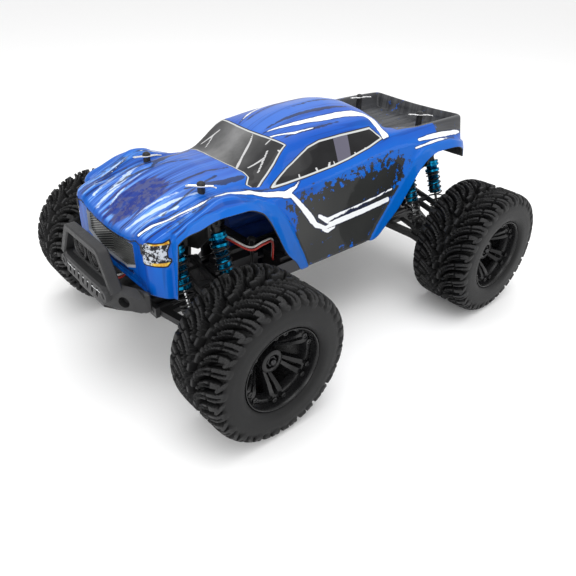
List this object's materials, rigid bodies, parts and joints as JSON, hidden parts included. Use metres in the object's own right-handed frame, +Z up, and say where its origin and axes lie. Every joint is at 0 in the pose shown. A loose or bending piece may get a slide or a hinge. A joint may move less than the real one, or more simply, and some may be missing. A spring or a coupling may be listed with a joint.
{
  "type": "rc monster truck",
  "caption": "Four-wheel-drive toy monster truck with lugged tyres, double-wishbone arms, coil-over shocks, linked steering, geared drive line and a clip-on pickup body.",
  "frame": {"origin": "on the ground, at the middle of the truck's bounding box", "axes": "+X forwards along the truck, +Y to its left, +Z up"},
  "size_m": [0.4208, 0.31, 0.2023],
  "materials": {
    "tyre_rubber": "matt moulded tread rubber",
    "rim_plastic": "satin black moulded nylon",
    "arm_plastic": "satin black moulded nylon",
    "hub_metal": "dark anodised",
    "shock_alloy": "cyan-blue anodised",
    "rod_steel": "ground steel",
    "spring_steel": "black coated spring wire",
    "plate_alloy": "grey anodised plate",
    "bumper_plastic": "grained black nylon",
    "lamp_black": "black lamp insert",
    "body_skin": "printed polycarbonate, gloss",
    "clip_steel": "bright spring wire",
    "motor_can": "plated steel can",
    "gear_plastic": "moulded gear",
    "pack_sleeve": "shrink sleeve",
    "box_black": "moulded case",
    "wire_sleeve": "silicone insulation"
  },
  "bodies": {
    "chassis": {"chassis_plate": "plate_alloy", "gearboxes": "arm_plastic", "shock_towers": "arm_plastic", "body_posts": "arm_plastic", "front_bumper": "bumper_plastic", "bumper_lamps": "lamp_black", "body_shell": "body_skin", "body_clips": "clip_steel", "motor": "motor_can", "battery": "pack_sleeve", "receiver_esc": "box_black", "steering_servo": "box_black", "wiring": "wire_sleeve"},
    "lower_arm_fl": {"lower_arm_fl": "arm_plastic"},
    "upper_arm_fl": {"upper_arm_fl": "arm_plastic"},
    "c_hub_fl": {"c_hub_fl": "arm_plastic"},
    "shock_body_fl": {"shock_body_fl": "shock_alloy", "spring_fl": "spring_steel"},
    "shock_rod_fl": {"shock_rod_fl": "rod_steel"},
    "dogbone_fl": {"dogbone_fl": "rod_steel"},
    "wheel_fl": {"wheel_fl": "rim_plastic", "tyre_fl": "tyre_rubber"},
    "knuckle_fl": {"knuckle_fl": "hub_metal"},
    "lower_arm_fr": {"lower_arm_fr": "arm_plastic"},
    "upper_arm_fr": {"upper_arm_fr": "arm_plastic"},
    "c_hub_fr": {"c_hub_fr": "arm_plastic"},
    "shock_body_fr": {"shock_body_fr": "shock_alloy", "spring_fr": "spring_steel"},
    "shock_rod_fr": {"shock_rod_fr": "rod_steel"},
    "dogbone_fr": {"dogbone_fr": "rod_steel"},
    "wheel_fr": {"wheel_fr": "rim_plastic", "tyre_fr": "tyre_rubber"},
    "knuckle_fr": {"knuckle_fr": "hub_metal"},
    "lower_arm_rl": {"lower_arm_rl": "arm_plastic"},
    "upper_arm_rl": {"upper_arm_rl": "arm_plastic"},
    "hub_carrier_rl": {"hub_carrier_rl": "arm_plastic"},
    "shock_body_rl": {"shock_body_rl": "shock_alloy", "spring_rl": "spring_steel"},
    "shock_rod_rl": {"shock_rod_rl": "rod_steel"},
    "dogbone_rl": {"dogbone_rl": "rod_steel"},
    "wheel_rl": {"wheel_rl": "rim_plastic", "tyre_rl": "tyre_rubber"},
    "lower_arm_rr": {"lower_arm_rr": "arm_plastic"},
    "upper_arm_rr": {"upper_arm_rr": "arm_plastic"},
    "hub_carrier_rr": {"hub_carrier_rr": "arm_plastic"},
    "shock_body_rr": {"shock_body_rr": "shock_alloy", "spring_rr": "spring_steel"},
    "shock_rod_rr": {"shock_rod_rr": "rod_steel"},
    "dogbone_rr": {"dogbone_rr": "rod_steel"},
    "wheel_rr": {"wheel_rr": "rim_plastic", "tyre_rr": "tyre_rubber"},
    "outdrives_front": {"outdrives_front": "rod_steel"},
    "outdrives_rear": {"outdrives_rear": "rod_steel"},
    "centre_drive": {"centre_drive": "gear_plastic"},
    "motor_pinion": {"motor_pinion": "rod_steel"},
    "servo_horn": {"servo_horn": "hub_metal"},
    "idler_arm": {"idler_arm": "hub_metal"},
    "drag_link": {"drag_link": "hub_metal"},
    "tie_rod_left": {"tie_rod_left": "rod_steel"},
    "tie_rod_right": {"tie_rod_right": "rod_steel"}
  },
  "joints": [
    {"name": "suspension_fl", "type": "hinge", "parent": "chassis", "child": "lower_arm_fl", "pos_m": [0.1325, 0.024, 0.061], "axis": [1, 0, 0], "range_deg": [-10, 16], "stiffness_Nm_per_rad": 1.2, "springref_deg": -8.88},
    {"name": "upper_arm_hinge_fl", "type": "hinge", "parent": "chassis", "child": "upper_arm_fl", "pos_m": [0.1325, 0.022, 0.096], "axis": [1, 0, 0], "range_deg": [-10, 16]},
    {"name": "hub_hinge_fl", "type": "hinge", "parent": "lower_arm_fl", "child": "c_hub_fl", "pos_m": [0.1325, 0.086, 0.047], "axis": [1, 0, 0], "range_deg": [-16, 10]},
    {"name": "shock_hinge_fl", "type": "hinge", "parent": "chassis", "child": "shock_body_fl", "pos_m": [0.1325, 0.04, 0.132], "axis": [1, 0, 0], "range_deg": [-1.4, 1.6]},
    {"name": "shock_stroke_fl", "type": "slide", "parent": "shock_body_fl", "child": "shock_rod_fl", "axis": [0, -0.3511, 0.9363], "range_m": [-0.0098, 0.0112], "deforming": ["spring_fl"]},
    {"name": "steering_fl", "type": "hinge", "parent": "c_hub_fl", "child": "knuckle_fl", "pos_m": [0.1325, 0.086, 0.063], "axis": [0, 0, 1], "range_deg": [-21, 21]},
    {"name": "wheel_spin_fl", "type": "hinge", "parent": "knuckle_fl", "child": "wheel_fl", "pos_m": [0.1325, 0.124, 0.063], "axis": [0, 1, 0], "continuous": true},
    {"name": "dogbone_swing_fl", "type": "hinge", "parent": "chassis", "child": "dogbone_fl", "pos_m": [0.1325, 0.024, 0.077], "axis": [1, 0, 0], "range_deg": [-10, 16]},
    {"name": "suspension_fr", "type": "hinge", "parent": "chassis", "child": "lower_arm_fr", "pos_m": [0.1325, -0.024, 0.061], "axis": [-1, 0, 0], "range_deg": [-10, 16], "stiffness_Nm_per_rad": 1.2, "springref_deg": -8.88},
    {"name": "upper_arm_hinge_fr", "type": "hinge", "parent": "chassis", "child": "upper_arm_fr", "pos_m": [0.1325, -0.022, 0.096], "axis": [-1, 0, 0], "range_deg": [-10, 16]},
    {"name": "hub_hinge_fr", "type": "hinge", "parent": "lower_arm_fr", "child": "c_hub_fr", "pos_m": [0.1325, -0.086, 0.047], "axis": [-1, 0, 0], "range_deg": [-16, 10]},
    {"name": "shock_hinge_fr", "type": "hinge", "parent": "chassis", "child": "shock_body_fr", "pos_m": [0.1325, -0.04, 0.132], "axis": [-1, 0, 0], "range_deg": [-1.4, 1.6]},
    {"name": "shock_stroke_fr", "type": "slide", "parent": "shock_body_fr", "child": "shock_rod_fr", "axis": [0, 0.3511, 0.9363], "range_m": [-0.0098, 0.0112], "deforming": ["spring_fr"]},
    {"name": "steering_fr", "type": "hinge", "parent": "c_hub_fr", "child": "knuckle_fr", "pos_m": [0.1325, -0.086, 0.063], "axis": [0, 0, 1], "range_deg": [-21, 21]},
    {"name": "wheel_spin_fr", "type": "hinge", "parent": "knuckle_fr", "child": "wheel_fr", "pos_m": [0.1325, -0.124, 0.063], "axis": [0, 1, 0], "continuous": true},
    {"name": "dogbone_swing_fr", "type": "hinge", "parent": "chassis", "child": "dogbone_fr", "pos_m": [0.1325, -0.024, 0.077], "axis": [-1, 0, 0], "range_deg": [-10, 16]},
    {"name": "suspension_rl", "type": "hinge", "parent": "chassis", "child": "lower_arm_rl", "pos_m": [-0.1475, 0.024, 0.061], "axis": [1, 0, 0], "range_deg": [-10, 16], "stiffness_Nm_per_rad": 1.2, "springref_deg": -8.88},
    {"name": "upper_arm_hinge_rl", "type": "hinge", "parent": "chassis", "child": "upper_arm_rl", "pos_m": [-0.1475, 0.022, 0.096], "axis": [1, 0, 0], "range_deg": [-10, 16]},
    {"name": "hub_hinge_rl", "type": "hinge", "parent": "lower_arm_rl", "child": "hub_carrier_rl", "pos_m": [-0.1475, 0.086, 0.047], "axis": [1, 0, 0], "range_deg": [-16, 10]},
    {"name": "shock_hinge_rl", "type": "hinge", "parent": "chassis", "child": "shock_body_rl", "pos_m": [-0.1475, 0.04, 0.132], "axis": [1, 0, 0], "range_deg": [-1.4, 1.6]},
    {"name": "shock_stroke_rl", "type": "slide", "parent": "shock_body_rl", "child": "shock_rod_rl", "axis": [0, -0.3511, 0.9363], "range_m": [-0.0098, 0.0112], "deforming": ["spring_rl"]},
    {"name": "wheel_spin_rl", "type": "hinge", "parent": "hub_carrier_rl", "child": "wheel_rl", "pos_m": [-0.1475, 0.124, 0.063], "axis": [0, 1, 0], "continuous": true},
    {"name": "dogbone_swing_rl", "type": "hinge", "parent": "chassis", "child": "dogbone_rl", "pos_m": [-0.1475, 0.024, 0.077], "axis": [1, 0, 0], "range_deg": [-10, 16]},
    {"name": "suspension_rr", "type": "hinge", "parent": "chassis", "child": "lower_arm_rr", "pos_m": [-0.1475, -0.024, 0.061], "axis": [-1, 0, 0], "range_deg": [-10, 16], "stiffness_Nm_per_rad": 1.2, "springref_deg": -8.88},
    {"name": "upper_arm_hinge_rr", "type": "hinge", "parent": "chassis", "child": "upper_arm_rr", "pos_m": [-0.1475, -0.022, 0.096], "axis": [-1, 0, 0], "range_deg": [-10, 16]},
    {"name": "hub_hinge_rr", "type": "hinge", "parent": "lower_arm_rr", "child": "hub_carrier_rr", "pos_m": [-0.1475, -0.086, 0.047], "axis": [-1, 0, 0], "range_deg": [-16, 10]},
    {"name": "shock_hinge_rr", "type": "hinge", "parent": "chassis", "child": "shock_body_rr", "pos_m": [-0.1475, -0.04, 0.132], "axis": [-1, 0, 0], "range_deg": [-1.4, 1.6]},
    {"name": "shock_stroke_rr", "type": "slide", "parent": "shock_body_rr", "child": "shock_rod_rr", "axis": [0, 0.3511, 0.9363], "range_m": [-0.0098, 0.0112], "deforming": ["spring_rr"]},
    {"name": "wheel_spin_rr", "type": "hinge", "parent": "hub_carrier_rr", "child": "wheel_rr", "pos_m": [-0.1475, -0.124, 0.063], "axis": [0, 1, 0], "continuous": true},
    {"name": "dogbone_swing_rr", "type": "hinge", "parent": "chassis", "child": "dogbone_rr", "pos_m": [-0.1475, -0.024, 0.077], "axis": [-1, 0, 0], "range_deg": [-10, 16]},
    {"name": "differential_front", "type": "hinge", "parent": "chassis", "child": "outdrives_front", "pos_m": [0.1325, 0, 0.077], "axis": [0, 1, 0], "continuous": true},
    {"name": "differential_rear", "type": "hinge", "parent": "chassis", "child": "outdrives_rear", "pos_m": [-0.1475, 0, 0.077], "axis": [0, 1, 0], "continuous": true},
    {"name": "centre_shaft", "type": "hinge", "parent": "chassis", "child": "centre_drive", "pos_m": [-0.028, 0, 0.077], "axis": [1, 0, 0], "continuous": true},
    {"name": "motor_shaft", "type": "hinge", "parent": "chassis", "child": "motor_pinion", "pos_m": [-0.028, 0.0232, 0.077], "axis": [1, 0, 0], "continuous": true},
    {"name": "servo_output", "type": "hinge", "parent": "chassis", "child": "servo_horn", "pos_m": [0.087, 0.016, 0.086], "axis": [0, 0, 1], "range_deg": [-21, 21]},
    {"name": "idler_hinge", "type": "hinge", "parent": "chassis", "child": "idler_arm", "pos_m": [0.087, -0.016, 0.086], "axis": [0, 0, 1], "range_deg": [-21, 21]},
    {"name": "drag_link_hinge", "type": "hinge", "parent": "servo_horn", "child": "drag_link", "pos_m": [0.063, 0.016, 0.09], "axis": [0, 0, 1], "range_deg": [-21, 21]},
    {"name": "tie_rod_hinge_left", "type": "hinge", "parent": "drag_link", "child": "tie_rod_left", "pos_m": [0.063, 0.024, 0.0944], "axis": [1, 0, 0], "range_deg": [-10, 16]},
    {"name": "tie_rod_hinge_right", "type": "hinge", "parent": "drag_link", "child": "tie_rod_right", "pos_m": [0.063, -0.024, 0.0944], "axis": [-1, 0, 0], "range_deg": [-10, 16]}
  ],
  "couplings": [
    {"joint": "upper_arm_hinge_fl", "follows": "suspension_fl", "ratio": 1},
    {"joint": "hub_hinge_fl", "follows": "suspension_fl", "ratio": -1},
    {"joint": "shock_hinge_fl", "follows": "suspension_fl", "ratio": 0.09},
    {"joint": "shock_stroke_fl", "follows": "suspension_fl", "m_per_rad": 0.0397},
    {"joint": "dogbone_swing_fl", "follows": "suspension_fl", "ratio": 1},
    {"joint": "upper_arm_hinge_fr", "follows": "suspension_fr", "ratio": 1},
    {"joint": "hub_hinge_fr", "follows": "suspension_fr", "ratio": -1},
    {"joint": "shock_hinge_fr", "follows": "suspension_fr", "ratio": 0.09},
    {"joint": "shock_stroke_fr", "follows": "suspension_fr", "m_per_rad": 0.0397},
    {"joint": "dogbone_swing_fr", "follows": "suspension_fr", "ratio": 1},
    {"joint": "wheel_spin_fr", "follows": "wheel_spin_fl", "ratio": 1},
    {"joint": "upper_arm_hinge_rl", "follows": "suspension_rl", "ratio": 1},
    {"joint": "hub_hinge_rl", "follows": "suspension_rl", "ratio": -1},
    {"joint": "shock_hinge_rl", "follows": "suspension_rl", "ratio": 0.09},
    {"joint": "shock_stroke_rl", "follows": "suspension_rl", "m_per_rad": 0.0397},
    {"joint": "dogbone_swing_rl", "follows": "suspension_rl", "ratio": 1},
    {"joint": "wheel_spin_rl", "follows": "wheel_spin_fl", "ratio": 1},
    {"joint": "upper_arm_hinge_rr", "follows": "suspension_rr", "ratio": 1},
    {"joint": "hub_hinge_rr", "follows": "suspension_rr", "ratio": -1},
    {"joint": "shock_hinge_rr", "follows": "suspension_rr", "ratio": 0.09},
    {"joint": "shock_stroke_rr", "follows": "suspension_rr", "m_per_rad": 0.0397},
    {"joint": "dogbone_swing_rr", "follows": "suspension_rr", "ratio": 1},
    {"joint": "wheel_spin_rr", "follows": "wheel_spin_fl", "ratio": 1},
    {"joint": "differential_front", "follows": "wheel_spin_fl", "ratio": 1},
    {"joint": "differential_rear", "follows": "wheel_spin_fl", "ratio": 1},
    {"joint": "centre_shaft", "follows": "wheel_spin_fl", "ratio": 3},
    {"joint": "motor_shaft", "follows": "wheel_spin_fl", "ratio": -9.4286},
    {"joint": "steering_fr", "follows": "steering_fl", "ratio": 1},
    {"joint": "servo_output", "follows": "steering_fl", "ratio": 1},
    {"joint": "idler_hinge", "follows": "steering_fl", "ratio": 1},
    {"joint": "drag_link_hinge", "follows": "steering_fl", "ratio": -1},
    {"joint": "tie_rod_hinge_left", "follows": "suspension_fl", "ratio": 1},
    {"joint": "tie_rod_hinge_right", "follows": "suspension_fr", "ratio": 1}
  ]
}
